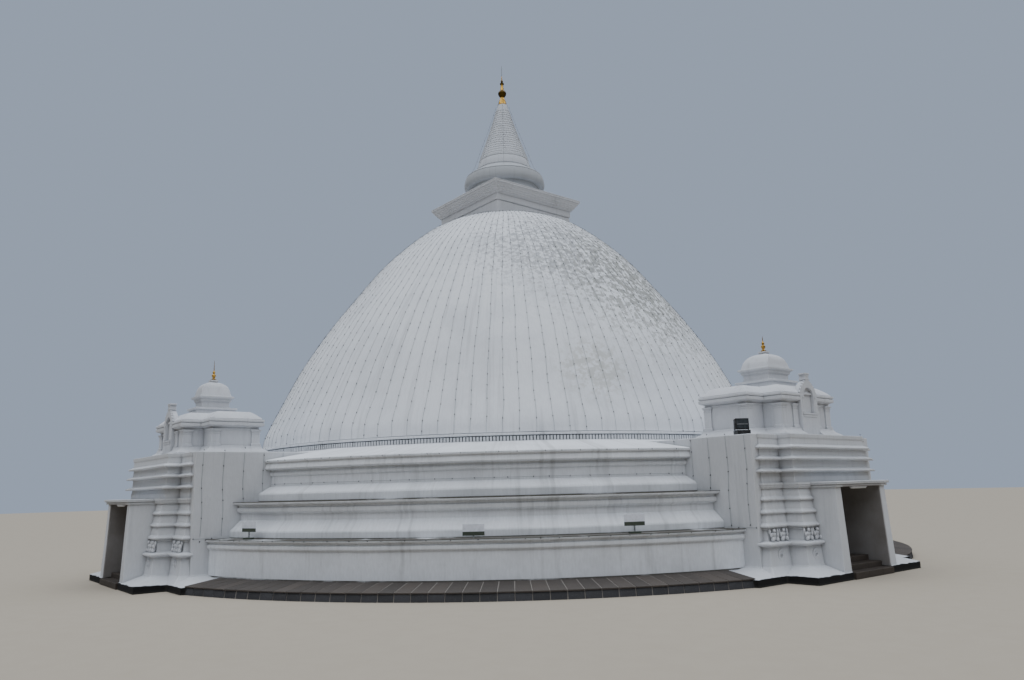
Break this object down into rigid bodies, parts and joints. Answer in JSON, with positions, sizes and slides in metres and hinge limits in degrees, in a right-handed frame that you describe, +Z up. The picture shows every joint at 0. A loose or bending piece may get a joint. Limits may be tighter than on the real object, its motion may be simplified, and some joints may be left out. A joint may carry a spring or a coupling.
{
  "type": "stupa",
  "caption": "Limewashed masonry stupa with ring terraces, a rounded dome, a square chamber, a ringed spire and gatehouses.",
  "frame": {"origin": "centre of the base on the ground, on the axis of the dome", "axes": "+Z up along the axis of the dome; the gatehouses face +X, +Y, -X and -Y"},
  "size_m": [31.3, 31.3, 22.45],
  "materials": {
    "limewash": "brushed limewash on plaster, weathered grey in places",
    "dark_stone": "worn dark stone blocks",
    "gilding": "gilded metal",
    "steel": "dull steel rod"
  },
  "bodies": {
    "root": {"lower_terrace": "limewash", "middle_terrace": "limewash", "upper_terrace": "limewash", "dentil_course": "limewash", "dome": "limewash", "chamber": "limewash", "chamber_cornice": "limewash", "drum": "limewash", "drum_ring": "limewash", "spire_ring": "limewash", "spire": "limewash", "pinnacle": "gilding", "lightning_rod": "steel", "kerb_east": "dark_stone", "kerb_north": "dark_stone", "kerb_west": "dark_stone", "kerb_south": "dark_stone", "gate_walls_east": "limewash", "gate_walls_north": "limewash", "gate_walls_west": "limewash", "gate_walls_south": "limewash", "gate_front_east": "limewash", "gate_front_north": "limewash", "gate_front_west": "limewash", "gate_front_south": "limewash", "gate_porch_east": "limewash", "gate_porch_north": "limewash", "gate_porch_west": "limewash", "gate_porch_south": "limewash", "gate_steps_east": "dark_stone", "gate_steps_north": "dark_stone", "gate_steps_west": "dark_stone", "gate_steps_south": "dark_stone", "gate_storey_east": "limewash", "gate_storey_north": "limewash", "gate_storey_west": "limewash", "gate_storey_south": "limewash", "gate_roof_east": "limewash", "gate_roof_north": "limewash", "gate_roof_west": "limewash", "gate_roof_south": "limewash", "gate_finial_east": "gilding", "gate_finial_north": "gilding", "gate_finial_west": "gilding", "gate_finial_south": "gilding"}
  },
  "joints": []
}
